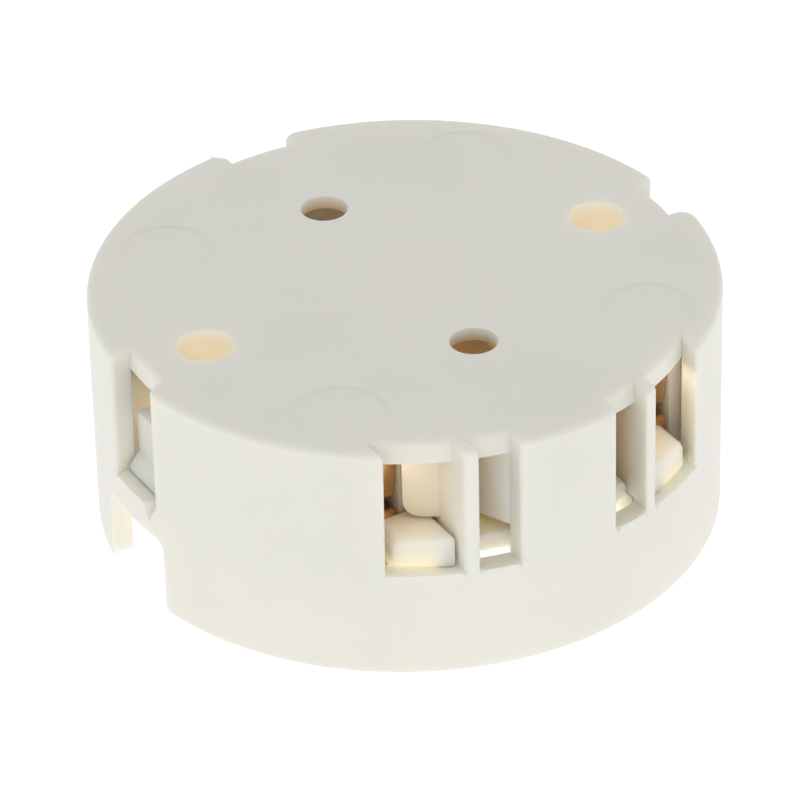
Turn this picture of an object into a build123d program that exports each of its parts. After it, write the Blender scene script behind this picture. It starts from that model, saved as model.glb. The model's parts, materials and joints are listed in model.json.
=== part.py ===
from build123d import *
import math
import os

# A round push-in lampholder for a compact fluorescent lamp with four pins, in millimetres.
# It stands on the rim of its skirt, with the lamp side down and the flat mounting back up.
# Z is the axis of the round body, the wires go in from -Y and the screw posts stand along X.

# Housing, a moulded cup
OUTER_DIAMETER = 56.0
HEIGHT = 22.5
SKIRT_WALL = 2.0
BACK_PLATE = 1.3
EDGE_BAND = 2.1
EDGE_BAND_WIDTH = 2.4
BACK_EDGE_CHAMFER = 0.45
RIM_CHAMFER = 0.35

# Windows in the skirt: two narrow and two wide ones for wires, three for the latches
SILL_HEIGHT = 10.2
NARROW_INSET = 4.8
NARROW_WINDOW = 3.5
DIVIDER = 1.3
WIDE_WINDOW = 6.0
LATCH_WINDOW = 5.9
JAMB_ROUND = 0.6
JAMB_SHARE = 0.46
LATCH_JAMB_ROUND = 1.7

# Notches in the rim, which leave a springy bridge under each latch window
NOTCH_WIDTH = 9.7
NOTCH_HEIGHT = 7.25
NOTCH_ROUND = 1.2
NOTCH_FLARE = 0.8

# Fixing holes through the back: one pair in screw posts, one pair in the plate alone
POST_HOLE = 5.0
POST_INSET = 8.0
POST_DIAMETER = 8.0
PLATE_HOLE = 4.2
PLATE_SPACING = 26.0
PLATE_OFFSET = 1.2

# Shallow round moulding marks on the back
MARK_DIAMETER = 8.5
MARK_DEPTH = 0.1
MARK_SPACING = 31.0

# Wire guides that hang from the back plate behind the windows
GUIDE_SETBACK = 4.1
GUIDE_THICKNESS = 1.2
GUIDE_REACH = 2.7
GUIDE_TURN = 32.0
GUIDE_ROUND = 1.6
FUNNEL_REACH = 1.5
FUNNEL_DEPTH = 3.2
FUNNEL_FOOT = 2.8

# Contact carrier, a moulded insert
FIT_CLEARANCE = 0.35
SLIDE_CLEARANCE = 0.2
DECK = 2.4
LEDGE = 3.0
LEDGE_ROUND = 1.2
LEDGE_REACH = 1.0
LEDGE_INNER_GAP = 0.3
LEDGE_OUTER_GAP = 0.9
NARROW_LEDGE = 1.6
NARROW_TAIL = 1.8
NARROW_GAP = 0.45
DECK_SLOT = 5.0
CHAMBER_WALL = 1.2
CHAMBER_DEPTH = 4.6
HEADROOM = 1.5
LUG = 1.2
LUG_HEIGHT = 6.0
NOSE_REACH = 1.0
NOSE_HEIGHT = 2.0
NOSE_FACE = 0.6
HEAD_SEAT = 8.4
HEAD_SEAT_DEPTH = 0.8

# Socket block on the lamp side of the carrier
SOCKET_X = 20.0
SOCKET_Y = 26.0
SOCKET_DROP = 3.6
SOCKET_ROUND = 3.0
PIN_HOLE = 3.0
PIN_LEAD_IN = 0.6
PIN_SPACING_X = 10.0
PIN_SPACING_Y = 18.0
WELL_X = 12.0
WELL_Y = 8.0
WELL_DEPTH = 9.0
WELL_WALL = 1.2

# Bronze contacts, stamped from strip
STRIP = 0.4
STRIP_BEND = 0.7
TERMINAL_WIDTH = 3.2
TERMINAL_CLEARANCE = 0.3
SHELF_LENGTH = 3.0
PAD_BORDER = 0.8
PIN_RELIEF = 0.1
GRIP_WIDTH = 3.2
GRIP_WAIST = 3.8
GRIP_MOUTH = 1.5
GRIP_GAP = 2.0
GRIP_FLARE = 0.6

# Clamp springs over the contacts
CLAMP_STRIP = 0.35
CLAMP_BEND = 1.0
CLAMP_WIDTH = 3.5
CLAMP_RAKE = 0.6
CLAMP_GAP = 1.2

# Lamp springs in the well
LAMP_STRIP = 0.4
LAMP_BEND = 0.8
LAMP_SPRING_WIDTH = 5.0
LAMP_SPRING_FOOT = 2.6
LAMP_SPRING_BOW = 1.3
LAMP_SPRING_RISE = 4.6

# Room that a cutter has beyond the face it starts from, and depth that joined shapes share
OVERCUT = 1.0
OVERLAP = 0.5

# Places that follow from the sizes
outer_radius = OUTER_DIAMETER / 2
inner_radius = outer_radius - SKIRT_WALL
deck_radius = inner_radius - FIT_CLEARANCE
plate_underside = HEIGHT - BACK_PLATE
deck_top = SILL_HEIGHT
deck_bottom = deck_top - DECK
ledge_top = deck_top + LEDGE
narrow_top = deck_top + NARROW_LEDGE
wall_top = HEIGHT - EDGE_BAND - HEADROOM
socket_face = deck_bottom - SOCKET_DROP
well_roof = socket_face + WELL_DEPTH
narrow_end = NARROW_INSET + NARROW_WINDOW
wide_start = narrow_end + DIVIDER
wide_end = wide_start + WIDE_WINDOW
guide_turn = math.radians(GUIDE_TURN)
guide_front = GUIDE_SETBACK - inner_radius
guide_depth = GUIDE_REACH * math.tan(guide_turn) + GUIDE_THICKNESS * math.cos(guide_turn)
guide_back = guide_front + guide_depth
contact_front = guide_back + TERMINAL_CLEARANCE
chamber_back = contact_front + CHAMBER_DEPTH
chamber_exit = chamber_back + CHAMBER_WALL
inner_terminal = NARROW_INSET + NARROW_WINDOW / 2
outer_terminal = wide_end - TERMINAL_CLEARANCE - TERMINAL_WIDTH / 2
jamb_round = min(JAMB_ROUND, JAMB_SHARE * DIVIDER)
post_x = outer_radius - POST_INSET
pin_x = PIN_SPACING_X / 2
pin_y = PIN_SPACING_Y / 2


def panel(x, y):
    """A flat rectangle between two limits along each axis of its plane."""
    return Pos(sum(x) / 2, sum(y) / 2) * Rectangle(x[1] - x[0], y[1] - y[0])


def prism(outline, low, high):
    """A flat outline carried from one height to another."""
    return Pos(0, 0, low) * extrude(outline, high - low)


def both_sides(shape):
    """A shape and its mirror image across the centre plane."""
    return shape + mirror(shape, Plane.YZ)


def bent_strip(points, bend, thickness, width, plane):
    """A strip of sheet metal, with the middle of its thickness folded along points."""
    section = trace(FilletPolyline(*points, radius=bend), thickness)
    return extrude(plane * section, width / 2, both=True)


def cup():
    """The turned form of the housing: skirt, back plate and the plate's thicker edge band."""
    band = inner_radius - EDGE_BAND_WIDTH
    section = make_face(
        Polyline(
            (0, HEIGHT),
            (outer_radius, HEIGHT),
            (outer_radius, 0),
            (inner_radius, 0),
            (inner_radius, HEIGHT - EDGE_BAND),
            (band, HEIGHT - EDGE_BAND),
            (band, plate_underside),
            (0, plate_underside),
            close=True,
        )
    )
    back_edge = section.vertices().group_by(Axis.Y)[-1].sort_by(Axis.X)[-1:]
    section = chamfer(back_edge, BACK_EDGE_CHAMFER)
    rim = section.vertices().group_by(Axis.Y)[0]
    return revolve(Plane.XZ * chamfer(rim, RIM_CHAMFER), Axis.Z)


def outer_corners(walls):
    """The corners of cut skirt walls, seen in plan, that lie on the outside."""
    mid_wall = (inner_radius + outer_radius) / 2
    return [v for v in walls.vertices() if Vector(v.X, v.Y).length > mid_wall]


def window_openings():
    """Plan of every window: the skirt wall is cut by slots and its outer corners are rounded."""
    reach = (-outer_radius - OVERCUT, 0)
    around = Circle(outer_radius + OVERCUT) - Circle(inner_radius)
    skirt = Circle(outer_radius) - Circle(inner_radius)
    wire_slots = panel((NARROW_INSET, narrow_end), reach) + panel((wide_start, wide_end), reach)
    walls = skirt - both_sides(wire_slots)
    wire_windows = around - fillet(outer_corners(walls), jamb_round)
    latch_slot = panel((-LATCH_WINDOW / 2, LATCH_WINDOW / 2), reach)
    for turn in (90, 180, 270):
        skirt -= Rot(0, 0, turn) * latch_slot
    back_jambs = [v for v in outer_corners(skirt) if 0 < v.Y < LATCH_WINDOW]
    walls = fillet(back_jambs, jamb_round)
    wide_jambs = [v for v in outer_corners(walls) if v.Y < 0 or abs(v.X) < LATCH_WINDOW]
    return wire_windows + (around - fillet(wide_jambs, LATCH_JAMB_ROUND))


def notch():
    """The cutter of one rim notch, on +X."""
    half = NOTCH_WIDTH / 2
    opening = panel((-half, half), (-OVERCUT, NOTCH_HEIGHT))
    opening = fillet(opening.vertices().group_by(Axis.Y)[-1], NOTCH_ROUND)
    foot = panel((-half - NOTCH_FLARE, half + NOTCH_FLARE), (-OVERCUT, NOTCH_FLARE))
    for side in (-1, 1):
        foot -= Pos(side * (half + NOTCH_FLARE), NOTCH_FLARE) * Circle(NOTCH_FLARE)
    cutter = extrude(Plane.YZ * (opening + foot), outer_radius + OVERCUT)
    return cutter - Cylinder(inner_radius - OVERCUT, 2 * HEIGHT)


def wire_guides():
    """Walls that lead a wire from each window on the right into its terminal."""
    partition_low = deck_top + SLIDE_CLEARANCE
    guide_low = ledge_top + SLIDE_CLEARANCE
    funnel_low = deck_top + FUNNEL_FOOT
    partition_plan = panel((narrow_end, wide_start), (-inner_radius - OVERLAP, guide_back))
    partition = prism(partition_plan, partition_low, plate_underside + OVERLAP)
    tab_length = GUIDE_REACH / math.cos(guide_turn)
    tab = panel((-OVERLAP, tab_length), (guide_low, plate_underside + OVERLAP))
    tab = fillet(tab.vertices().group_by(Axis.Y)[0].sort_by(Axis.X)[-1:], GUIDE_ROUND)
    guide = Pos(0, GUIDE_THICKNESS, 0) * extrude(Plane.XZ * tab, GUIDE_THICKNESS)
    guide = Pos(wide_start, guide_front, 0) * Rot(0, 0, GUIDE_TURN) * guide
    jamb_y = -math.sqrt(inner_radius**2 - NARROW_INSET**2)
    throat = NARROW_INSET + FUNNEL_REACH
    funnel_plan = make_face(
        Polyline(
            (NARROW_INSET, jamb_y - OVERLAP),
            (NARROW_INSET, jamb_y),
            (throat, jamb_y + FUNNEL_DEPTH),
            (throat, guide_back),
            (throat - GUIDE_THICKNESS, guide_back),
            (throat - GUIDE_THICKNESS, jamb_y + FUNNEL_DEPTH),
            (NARROW_INSET - GUIDE_THICKNESS, jamb_y - OVERLAP),
            close=True,
        )
    )
    return partition + guide + prism(funnel_plan, funnel_low, plate_underside + OVERLAP)


def make_housing():
    body = cup() - prism(window_openings(), SILL_HEIGHT, HEIGHT + OVERCUT)
    for turn in (0, 90, 180):
        body -= Rot(0, 0, turn) * notch()
    body += both_sides(wire_guides()) & prism(Circle(inner_radius + OVERLAP), 0, HEIGHT)
    posts = both_sides(Pos(post_x, 0) * Circle(POST_DIAMETER / 2))
    post_holes = both_sides(Pos(post_x, 0) * Circle(POST_HOLE / 2))
    plate_holes = Sketch() + GridLocations(0, PLATE_SPACING, 1, 2) * Circle(PLATE_HOLE / 2)
    marks = Sketch() + GridLocations(MARK_SPACING, MARK_SPACING, 2, 2) * Circle(MARK_DIAMETER / 2)
    body += prism(posts, deck_top, plate_underside + OVERLAP)
    body -= prism(post_holes, 0, HEIGHT + OVERCUT)
    body -= Pos(0, PLATE_OFFSET) * prism(plate_holes, plate_underside - OVERCUT, HEIGHT + OVERCUT)
    return body - prism(marks, HEIGHT - MARK_DEPTH, HEIGHT + OVERCUT)


def ledge(start, end, top, corner, front_radius):
    """The step on the deck's edge that fills the foot of one wire window, on the right."""
    front = panel((start, end), (deck_top, top))
    front = fillet(front.vertices().group_by(Axis.Y)[-1].sort_by(Axis.X)[-1:], corner)
    step = Pos(0, guide_back, 0) * extrude(Plane.XZ * front, outer_radius)
    over_sill = prism(Circle(front_radius), deck_top + SLIDE_CLEARANCE, top)
    return step & (over_sill + prism(Circle(deck_radius), deck_top, top))


def chamber(centre):
    """Walls round three sides of a terminal, open to the wire and at the top."""
    half = TERMINAL_WIDTH / 2 + TERMINAL_CLEARANCE
    outside = panel((centre - half - CHAMBER_WALL, centre + half + CHAMBER_WALL),
                    (contact_front, chamber_exit))
    inside = panel((centre - half, centre + half), (contact_front - OVERCUT, chamber_back))
    walls = prism((outside - inside) & Circle(deck_radius), deck_top, wall_top)
    strip_way = panel((centre - half, centre + half), (chamber_back - OVERCUT, chamber_exit + OVERCUT))
    return walls - prism(strip_way, deck_top, deck_top + STRIP + TERMINAL_CLEARANCE)


def latch():
    """One latch lug on +X: its nose hooks over the sill of a latch window."""
    section = make_face(
        Polyline(
            (deck_radius - LUG, deck_top),
            (deck_radius - LUG, deck_top + LUG_HEIGHT),
            (deck_radius, deck_top + LUG_HEIGHT),
            (deck_radius, deck_top + NOSE_HEIGHT),
            (deck_radius + NOSE_REACH, deck_top + NOSE_FACE),
            (deck_radius + NOSE_REACH, deck_top),
            close=True,
        )
    )
    return extrude(Plane.XZ * section, LATCH_WINDOW / 2 - TERMINAL_CLEARANCE, both=True)


def socket_cuts():
    """The post well and the four pin holes with their lead-ins."""
    cuts = prism(Rectangle(WELL_X, WELL_Y), socket_face - OVERCUT, well_roof)
    radius = PIN_HOLE / 2
    pin_hole = prism(Circle(radius), socket_face - OVERCUT, deck_top + OVERCUT)
    lead_in = Cone(radius + PIN_LEAD_IN, radius, PIN_LEAD_IN)
    pin_hole += Pos(0, 0, socket_face + PIN_LEAD_IN / 2) * lead_in
    for place in GridLocations(PIN_SPACING_X, PIN_SPACING_Y, 2, 2):
        cuts += place * pin_hole
    return cuts


def make_carrier():
    slot_reach = (-outer_radius, DECK_SLOT - inner_radius)
    deck_slots = both_sides(panel((NARROW_INSET - NARROW_TAIL, narrow_end), slot_reach))
    edge_gap = deck_slots - Circle(deck_radius - NARROW_GAP)
    socket = fillet(Rectangle(SOCKET_X, SOCKET_Y).vertices(), SOCKET_ROUND)
    well_case = Rectangle(WELL_X + 2 * WELL_WALL, WELL_Y + 2 * WELL_WALL)
    post_room = both_sides(Pos(post_x, 0) * Circle(POST_DIAMETER / 2 + TERMINAL_CLEARANCE))
    screw_holes = both_sides(Pos(post_x, 0) * Circle(POST_HOLE / 2))
    head_seats = both_sides(Pos(post_x, 0) * Circle(HEAD_SEAT / 2))
    body = prism(Circle(deck_radius) - deck_slots, deck_bottom, deck_top)
    narrow_limits = (NARROW_INSET - NARROW_TAIL - OVERLAP, narrow_end - SLIDE_CLEARANCE)
    narrow_ledge = ledge(*narrow_limits, narrow_top, LEDGE_ROUND / 2, deck_radius)
    wide_limits = (wide_start + LEDGE_INNER_GAP, wide_end - LEDGE_OUTER_GAP)
    wide_ledge = ledge(*wide_limits, ledge_top, LEDGE_ROUND, inner_radius + LEDGE_REACH)
    body += both_sides(narrow_ledge + wide_ledge)
    body -= prism(edge_gap, deck_top, ledge_top + OVERCUT)
    body += both_sides(chamber(inner_terminal) + chamber(outer_terminal))
    for turn in (0, 90, 180):
        body += Rot(0, 0, turn) * latch()
    body -= prism(post_room, deck_top, HEIGHT)
    body += prism(well_case, deck_top - DECK / 2, well_roof + WELL_WALL)
    body += prism(socket, socket_face, deck_bottom)
    body -= prism(screw_holes, 0, deck_top + OVERCUT)
    body -= prism(head_seats, 0, deck_bottom + HEAD_SEAT_DEPTH)
    return body - socket_cuts()


def grip_leaves(x, y):
    """Two sprung leaves that take a lamp pin between them."""
    foot = (PIN_HOLE + STRIP) / 2 + PIN_RELIEF
    waist = (GRIP_GAP + STRIP) / 2
    points = [
        (waist + GRIP_FLARE, deck_top + GRIP_WAIST + GRIP_MOUTH),
        (waist, deck_top + GRIP_WAIST),
        (foot, deck_top + STRIP / 2),
    ]
    leaf = bent_strip(points, STRIP_BEND, STRIP, GRIP_WIDTH, Plane.XZ)
    return Pos(x, y, 0) * both_sides(leaf)


def terminal_fold(centre):
    """The front of a contact, folded up from the deck and back into the shelf that a wire lies on."""
    front = contact_front + STRIP / 2
    shelf = ledge_top - STRIP / 2
    base = deck_top + STRIP / 2
    shelf_end = contact_front + SHELF_LENGTH
    points = [(shelf_end, shelf), (front, shelf), (front, base), (chamber_back, base)]
    return Pos(centre, 0, 0) * bent_strip(points, STRIP_BEND, STRIP, TERMINAL_WIDTH, Plane.YZ)


def make_contact(centre, pin_row):
    """A contact on the right: terminal fold, flat run on the deck and grip at its lamp pin."""
    half = TERMINAL_WIDTH / 2
    pad = PIN_HOLE / 2 + PIN_RELIEF + PAD_BORDER
    run_centre = min(centre, post_x - POST_DIAMETER / 2 - TERMINAL_CLEARANCE - half)
    foot = panel((centre - half, centre + half), (chamber_back - OVERLAP, chamber_exit + CHAMBER_WALL))
    run = panel((run_centre - half, run_centre + half), (chamber_exit, pin_row + pad))
    cross = panel((pin_x - pad, run_centre + half), (pin_row - pad, pin_row + pad))
    hole = Pos(pin_x, pin_row) * Circle(PIN_HOLE / 2 + PIN_RELIEF)
    flat = prism(foot + run + cross - hole, deck_top, deck_top + STRIP)
    return flat + terminal_fold(centre) + grip_leaves(pin_x, pin_row)


def make_clamp(centre):
    """A clamp spring: back leg on the chamber wall, top leg, and a tongue raked down to the shelf."""
    back = chamber_back - CLAMP_STRIP / 2
    top = wall_top - CLAMP_STRIP / 2
    nose = contact_front + TERMINAL_CLEARANCE
    tip = (nose + CLAMP_RAKE, ledge_top + CLAMP_GAP)
    points = [(back, deck_top + STRIP), (back, top), (nose, top), tip]
    return Pos(centre, 0, 0) * bent_strip(points, CLAMP_BEND, CLAMP_STRIP, CLAMP_WIDTH, Plane.YZ)


def make_lamp_spring():
    """A leaf on the right wall of the well, bowed inward to snap round the lamp's post."""
    wall = (WELL_X - LAMP_STRIP) / 2
    roof = well_roof - LAMP_STRIP / 2
    points = [
        (wall - LAMP_SPRING_BOW / 2, socket_face + LAMP_STRIP),
        (wall - LAMP_SPRING_BOW, socket_face + LAMP_SPRING_RISE / 2),
        (wall, socket_face + LAMP_SPRING_RISE),
        (wall, roof),
        (wall - LAMP_SPRING_FOOT, roof),
    ]
    return bent_strip(points, LAMP_BEND, LAMP_STRIP, LAMP_SPRING_WIDTH, Plane.XZ)


right_side = {
    "contact_inner": make_contact(inner_terminal, -pin_y),
    "contact_outer": make_contact(outer_terminal, pin_y),
    "clamp_inner": make_clamp(inner_terminal),
    "clamp_outer": make_clamp(outer_terminal),
    "lamp_spring": make_lamp_spring(),
}

nodes = {"housing": make_housing(), "contact_carrier": make_carrier()}
for name, shape in right_side.items():
    nodes[name + "_right"] = shape
    nodes[name + "_left"] = mirror(shape, Plane.YZ)

os.makedirs("parts", exist_ok=True)
for name, shape in nodes.items():
    export_step(shape, f"parts/{name}.step")
    print(name, round(shape.volume, 1), "mm3")
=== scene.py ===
# %% [markdown]
# # A round plug-in lampholder
#
# This lesson dresses the holder of a small four-pin fluorescent lamp. It is a cream cup of
# moulded plastic that stands upside down, with its flat mounting back on top. Wires go in
# through windows in its side, and bronze terminals wait behind them.
#
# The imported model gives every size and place, so it is loaded first. All later steps work
# in metres in its frame: Z is the axis of the cup, and the wires come in from -Y.

# %% Load the frame
import json
import math
from contextlib import contextmanager

import bmesh
import bpy
from mathutils import Matrix, Vector


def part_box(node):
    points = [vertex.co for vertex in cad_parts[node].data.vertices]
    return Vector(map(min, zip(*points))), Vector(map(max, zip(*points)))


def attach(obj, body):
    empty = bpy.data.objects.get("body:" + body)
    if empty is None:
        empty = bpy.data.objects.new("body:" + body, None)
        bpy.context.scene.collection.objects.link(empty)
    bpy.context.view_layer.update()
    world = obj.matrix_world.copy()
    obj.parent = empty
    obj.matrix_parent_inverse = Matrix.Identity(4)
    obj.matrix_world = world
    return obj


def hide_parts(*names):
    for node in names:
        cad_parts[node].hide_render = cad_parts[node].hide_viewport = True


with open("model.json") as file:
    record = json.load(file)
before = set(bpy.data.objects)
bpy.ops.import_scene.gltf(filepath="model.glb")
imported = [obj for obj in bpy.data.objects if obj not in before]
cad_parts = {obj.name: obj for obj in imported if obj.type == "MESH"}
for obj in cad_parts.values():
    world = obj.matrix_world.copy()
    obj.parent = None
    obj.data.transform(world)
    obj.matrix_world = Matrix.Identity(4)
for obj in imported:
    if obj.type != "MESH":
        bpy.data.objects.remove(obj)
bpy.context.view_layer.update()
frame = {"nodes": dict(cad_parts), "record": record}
bpy.ops.object.select_all(action="DESELECT")
print("nodes:", ", ".join(sorted(frame["nodes"])))

# %% [markdown]
# ## Sizes
#
# A few driving sizes come from the frame: the boxes of its nodes and the mounts in its record.
# The rest are wall thicknesses and gaps of the mouldings, as they are in the solid model.
# Lengths are written as millimetres times MM, which is easier to check with a ruler.

# %% Sizes taken from the frame
MM = 0.001
housing_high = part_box("housing")[1]
socket_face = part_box("contact_carrier")[0].z
mounts = {mount["name"]: mount for mount in frame["record"]["mounts"]}

outer_radius = housing_high.x
height = housing_high.z
post_x = mounts["post_screws"]["dims"]["spacing_x_mm"] / 2 * MM
post_hole_radius = mounts["post_screws"]["dims"]["hole_r_mm"] * MM
plate_hole_y = mounts["plate_screws"]["dims"]["spacing_y_mm"] / 2 * MM
plate_hole_shift = mounts["plate_screws"]["pos_m"][1]
plate_hole_radius = mounts["plate_screws"]["dims"]["hole_r_mm"] * MM
pin_places = [Vector(m["pos_m"]) for name, m in mounts.items() if name.startswith("pin_socket")]
pin_hole_radius = mounts["pin_socket_front_left"]["dims"]["r_mm"] * MM
print(f"cup {2 * outer_radius / MM:.1f} mm across and {height / MM:.1f} mm high")
print(len(pin_places), "pin holes")

# %% Sizes of the mouldings
SKIRT_WALL = 2.0 * MM
BACK_PLATE = 1.3 * MM
EDGE_BAND = 2.1 * MM
EDGE_BAND_WIDTH = 2.4 * MM
SILL_HEIGHT = 10.2 * MM
NOTCH_HEIGHT = 7.25 * MM
WIRE_JAMBS = (4.8 * MM, 8.3 * MM, 9.6 * MM, 15.6 * MM)
LATCH_HALF = 2.95 * MM
NOTCH_HALF = 4.85 * MM

inner_radius = outer_radius - SKIRT_WALL
band_radius = inner_radius - EDGE_BAND_WIDTH
band_underside = height - EDGE_BAND
plate_underside = height - BACK_PLATE
print(f"skirt from {inner_radius / MM:.1f} to {outer_radius / MM:.1f} mm")
print(f"sills at {SILL_HEIGHT / MM:.1f} mm")

# %% [markdown]
# ## Hand tools
#
# Modelling by hand is a round of three moves: add a primitive, select some of it, and apply an
# operator. These helpers do the same. A primitive is baked into place at once, so each piece
# sits at the origin with its place in its mesh. Selections are made by a test on the middle of
# each vertex, edge or face, because that still holds when a size changes.

# %% Hand tools
CLOSE = 0.02 * MM


def add(shape, name, **size):
    """Add one primitive and bake its place into its mesh."""
    bpy.ops.object.select_all(action="DESELECT")
    getattr(bpy.ops.mesh, f"primitive_{shape}_add")(**size)
    piece = bpy.context.object
    piece.name = name
    piece.data.name = name
    bpy.ops.object.transform_apply(location=True, rotation=True, scale=True)
    return piece


def block(name, low, high):
    """A box between two corners."""
    low, high = Vector(low), Vector(high)
    return add("cube", name, size=1, location=(low + high) / 2, scale=high - low)


def rod(name, x, y, radius, low, high, sides=64):
    """An upright cylinder between two heights."""
    place = (x, y, (low + high) / 2)
    return add("cylinder", name, vertices=sides, radius=radius, depth=high - low, location=place)


def select_only(piece):
    """Make a piece the active one, with nothing else selected."""
    bpy.ops.object.select_all(action="DESELECT")
    piece.select_set(True)
    bpy.context.view_layer.objects.active = piece


def apply(piece, modifier):
    """Bake a modifier into the mesh of its piece."""
    select_only(piece)
    bpy.ops.object.modifier_apply(modifier=modifier.name)


@contextmanager
def editing(piece):
    """Edit mode on one piece, with nothing else selected."""
    select_only(piece)
    bpy.ops.object.mode_set(mode="EDIT")
    yield
    bpy.ops.object.mode_set(mode="OBJECT")


def middle(part):
    """The middle of a vertex, an edge or a face."""
    if isinstance(part, bmesh.types.BMVert):
        return part.co
    return sum((vertex.co for vertex in part.verts), Vector()) / len(part.verts)


def pick(piece, kind, test):
    """In edit mode, select only the verts, edges or faces that pass a test."""
    bpy.ops.mesh.select_mode(type=kind.upper())
    bpy.ops.mesh.select_all(action="DESELECT")
    mesh = bmesh.from_edit_mesh(piece.data)
    found = [part for part in getattr(mesh, kind.lower() + "s") if test(part)]
    for part in found:
        part.select_set(True)
    mesh.select_flush_mode()
    bmesh.update_edit_mesh(piece.data)
    return len(found)


def near(a, b):
    """Whether two lengths are the same."""
    return abs(a - b) < CLOSE


def draw(line, points):
    """In edit mode, merge a new plane into one vertex and extrude it by the steps between points."""
    pick(line, "VERT", lambda v: True)
    bpy.ops.mesh.merge(type="CENTER")
    for start, end in zip(points, points[1:]):
        bpy.ops.mesh.extrude_vertices_move(TRANSFORM_OT_translate={"value": end - start})


def face_outwards():
    """In edit mode, turn every face outwards."""
    bpy.ops.mesh.select_all(action="SELECT")
    bpy.ops.mesh.normals_make_consistent(inside=False)


def round_edges(radius, segments):
    """Round the selected edges."""
    bpy.ops.mesh.bevel(offset=radius, segments=segments, profile=0.5, affect="EDGES")


def weld(piece):
    """Merge vertices that lie on each other."""
    with editing(piece):
        bpy.ops.mesh.select_all(action="SELECT")
        bpy.ops.mesh.remove_doubles(threshold=CLOSE / 2)


def combine(piece, tool, operation):
    """Use one piece as a tool on another, and throw the tool away."""
    change = piece.modifiers.new("combine", "BOOLEAN")
    change.operation = operation
    change.solver = "EXACT"
    change.object = tool
    apply(piece, change)
    bpy.data.objects.remove(tool)


def unite(piece, *tools):
    """Add some pieces to another."""
    for tool in tools:
        combine(piece, tool, "UNION")


def cut(piece, *tools):
    """Take some pieces away from another."""
    for tool in tools:
        combine(piece, tool, "DIFFERENCE")


def keep_inside(piece, tool):
    """Keep only what lies inside a tool."""
    combine(piece, tool, "INTERSECT")


# %% [markdown]
# ## Camera
#
# The photograph looks down on the cup from its left front, through a long lens. The angles
# below come from the rims and holes in it: the two circles give the tilt, and the spread of
# the holes gives the distance. The camera is aimed a little under the back face, so that the
# cup sits in the middle of the square picture without any lens shift.

# %% Camera
CAMERA_AZIMUTH = math.radians(-29.772)
CAMERA_ELEVATION = math.radians(32.109)
CAMERA_ROLL = math.radians(-1.328)
CAMERA_AIM = math.radians(1.262)
CAMERA_PAN = math.radians(0.046)
CAMERA_DISTANCE = 0.4828
LENS_LENGTH = 246.78
SENSOR_WIDTH = 36.0
CLIP_START = 0.01

back = Vector((
    math.sin(CAMERA_AZIMUTH) * math.cos(CAMERA_ELEVATION),
    -math.cos(CAMERA_AZIMUTH) * math.cos(CAMERA_ELEVATION),
    math.sin(CAMERA_ELEVATION),
))
camera_place = Vector((0, 0, height)) + CAMERA_DISTANCE * back
level_right = Vector((math.cos(CAMERA_AZIMUTH), math.sin(CAMERA_AZIMUTH), 0))
right = Matrix.Rotation(CAMERA_ROLL, 3, back) @ level_right
back = Matrix.Rotation(-CAMERA_AIM, 3, right) @ back
up = back.cross(right)
right = Matrix.Rotation(CAMERA_PAN, 3, up) @ right
back = right.cross(up)

lens = bpy.data.cameras.new("camera")
lens.lens = LENS_LENGTH
lens.sensor_width = SENSOR_WIDTH
lens.clip_start = CLIP_START
camera = bpy.data.objects.new("camera", lens)
turned = Matrix((right, up, back)).transposed().to_4x4()
camera.matrix_world = Matrix.Translation(camera_place) @ turned
bpy.context.scene.collection.objects.link(camera)
bpy.context.scene.camera = camera
print(f"camera {CAMERA_DISTANCE:.3f} m away, lens {LENS_LENGTH:.0f} mm")

# %% [markdown]
# ## Table and light
#
# The cup stands on a glowing white table, as small goods often do in a studio. That is why
# its sides are brighter than its back, and why light shines out of the gaps round the
# windows. So the floor here is white and gives off light of its own, the world adds an even
# glow, and one large soft lamp above keeps the back from going flat. The floor is clear from
# below, so that the lamp side of the part can be looked at too.
#
# In thin plastic, light wanders about until it comes out somewhere else, warmer than before.
# To follow all of that takes very many samples. So a few small lamps that the camera doesn't
# see do a part of it: one in the table fills the cup from below, one in the middle of the cup
# is amber, and a pair each shines down into the wide windows, down behind the side windows,
# up the screw posts, and out of the slits at the feet of the ledges.

# %% Table and world
TABLE_SIZE = 3.0
TABLE_TONE = (0.06, 0.06, 0.06, 1)
TABLE_ROUGHNESS = 0.9
TABLE_GLOW = 1.05
WORLD_GLOW = 0.71
WHITE = (1, 1, 1, 1)
FLOOR_GAP = 0.02 * MM

floor = add("plane", "floor", size=TABLE_SIZE, location=(0, 0, -FLOOR_GAP))
table_white = bpy.data.materials.new("table_white")
table_white.use_nodes = True
table_nodes, table_links = table_white.node_tree.nodes, table_white.node_tree.links
table_shader = table_nodes["Principled BSDF"]
table_shader.inputs["Base Color"].default_value = TABLE_TONE
table_shader.inputs["Roughness"].default_value = TABLE_ROUGHNESS
table_shader.inputs["Emission Color"].default_value = WHITE
table_shader.inputs["Emission Strength"].default_value = TABLE_GLOW
see_through = table_nodes.new("ShaderNodeBsdfTransparent")
which_side = table_nodes.new("ShaderNodeNewGeometry")
one_way = table_nodes.new("ShaderNodeMixShader")
table_links.new(which_side.outputs["Backfacing"], one_way.inputs["Fac"])
table_links.new(table_shader.outputs["BSDF"], one_way.inputs[1])
table_links.new(see_through.outputs["BSDF"], one_way.inputs[2])
table_links.new(one_way.outputs["Shader"], table_nodes["Material Output"].inputs["Surface"])
floor.data.materials.append(table_white)

world = bpy.data.worlds.new("studio")
world.use_nodes = True
sky = world.node_tree.nodes["Background"]
sky.inputs["Color"].default_value = WHITE
sky.inputs["Strength"].default_value = WORLD_GLOW
bpy.context.scene.world = world
bpy.context.scene.view_settings.view_transform = "Standard"
print(f"table glow {TABLE_GLOW}, world glow {WORLD_GLOW}")

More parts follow.
